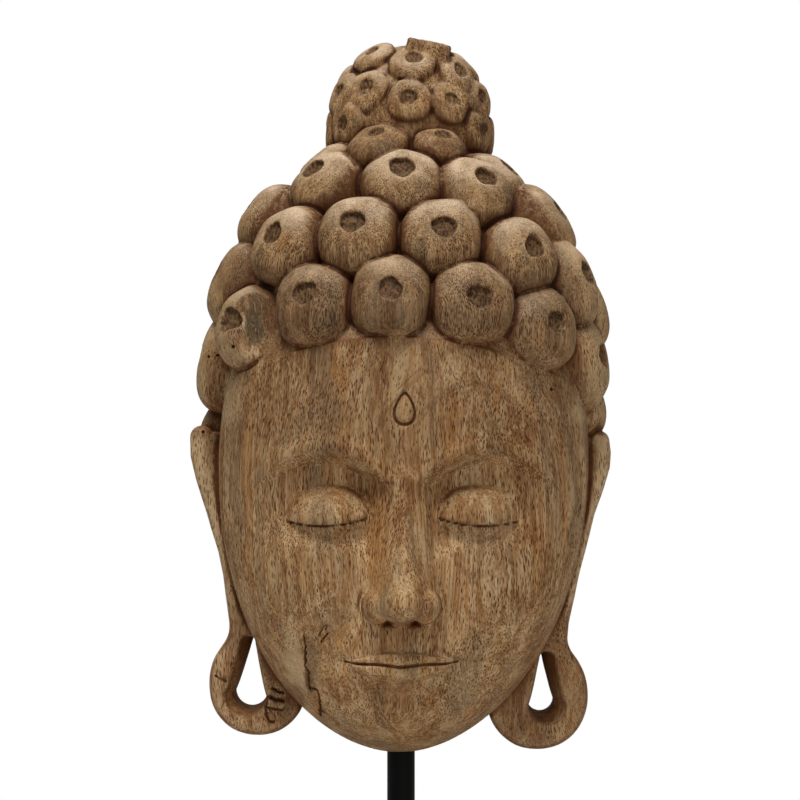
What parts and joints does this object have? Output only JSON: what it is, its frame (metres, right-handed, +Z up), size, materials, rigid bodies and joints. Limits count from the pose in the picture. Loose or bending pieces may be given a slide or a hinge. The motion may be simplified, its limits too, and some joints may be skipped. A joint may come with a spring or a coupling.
{
  "type": "buddha mask on stand",
  "caption": "Carved wooden Buddha mask with snail-shell curls, a topknot and long pierced ear lobes, hollow behind, on a black round rod with a flat foot plate.",
  "frame": {"origin": "centre of the foot plate's underside, where the stand rests on the table", "axes": "+Z up along the rod, the mask faces -Y, its left-hand side in the picture lies towards -X"},
  "size_m": [0.3015, 0.1964, 0.638],
  "materials": {
    "carved_wood": "matte",
    "black_metal": "satin"
  },
  "bodies": {
    "root": {"mask": "carved_wood", "stand_rod": "black_metal", "stand_foot": "black_metal"}
  },
  "joints": []
}
